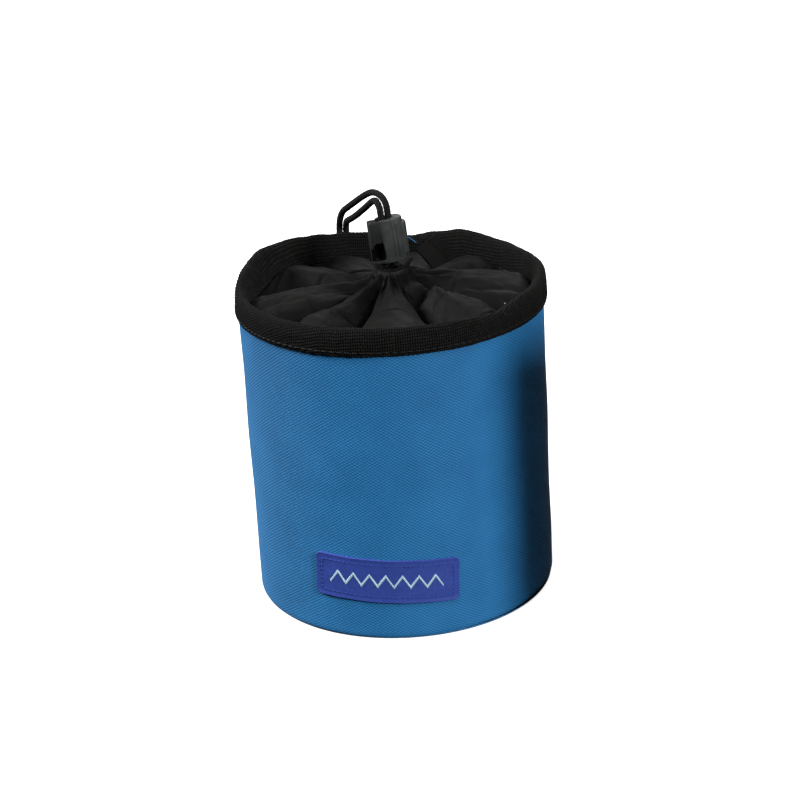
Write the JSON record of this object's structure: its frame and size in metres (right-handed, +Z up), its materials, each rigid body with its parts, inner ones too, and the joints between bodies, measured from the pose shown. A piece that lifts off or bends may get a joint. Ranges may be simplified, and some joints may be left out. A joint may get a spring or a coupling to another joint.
{
  "type": "drawstring pouch",
  "caption": "Round stiff-walled fabric pouch with a taped rim, gathered drawcord closure, spring cord lock, sewn label and belt loop.",
  "frame": {"origin": "centre of the flat underside, on the axis of the round wall", "axes": "+Z up the bag's axis, -Y towards the label on the front, +Y towards the belt loop on the back"},
  "size_m": [0.1163, 0.1232, 0.1516],
  "materials": {
    "wall_cloth": "woven, soft sheen",
    "seam_tape": "ribbed tape, matte",
    "foam": "closed-cell foam, matte",
    "board": "matte",
    "fleece": "short pile, matte",
    "hoop_plastic": "satin",
    "binding_tape": "diagonal ribs, matte",
    "thread": "sewing thread",
    "closure_cloth": "fine plain weave, slight sheen",
    "cord": "round braid, matte",
    "lock_plastic": "moulded, satin",
    "plunger_plastic": "moulded, satin",
    "spring_steel": "drawn wire",
    "label": "dense woven patch, satin",
    "label_thread": "sewing thread",
    "label_zigzag": "woven thread, satin",
    "webbing": "ribbed webbing, matte"
  },
  "bodies": {
    "bag": {"outer_wall": "wall_cloth", "outer_base": "wall_cloth", "wall_seam": "wall_cloth", "base_seam": "seam_tape", "wall_stiffener": "foam", "base_board": "board", "lining_wall": "fleece", "lining_base": "fleece", "rim_hoop": "hoop_plastic", "rim_binding": "binding_tape", "binding_stitching": "thread", "closure_skirt": "closure_cloth", "skirt_casing": "closure_cloth", "casing_end": "closure_cloth", "casing_cord": "cord", "drawcord_outer": "cord", "drawcord_inner": "cord", "cord_knot": "cord", "cord_tails": "cord", "label_patch": "label", "label_stitching": "label_thread", "label_zigzag": "label_zigzag", "belt_loop": "webbing", "loop_tacks": "thread", "rear_tab": "wall_cloth"},
    "lock": {"lock_barrel": "lock_plastic", "lock_spring": "spring_steel"},
    "plunger": {"lock_plunger": "plunger_plastic"}
  },
  "joints": [
    {"name": "lock_slide", "type": "slide", "parent": "bag", "child": "lock", "axis": [-0.0785, 0, 0.9969], "range_m": [0, 0.002]},
    {"name": "plunger_press", "type": "slide", "parent": "lock", "child": "plunger", "axis": [0.9629, 0.2588, 0.0758], "range_m": [0, 0.0016], "stiffness_N_per_m": 600, "springref_m": -0.0015, "deforming": ["lock_spring"]}
  ]
}
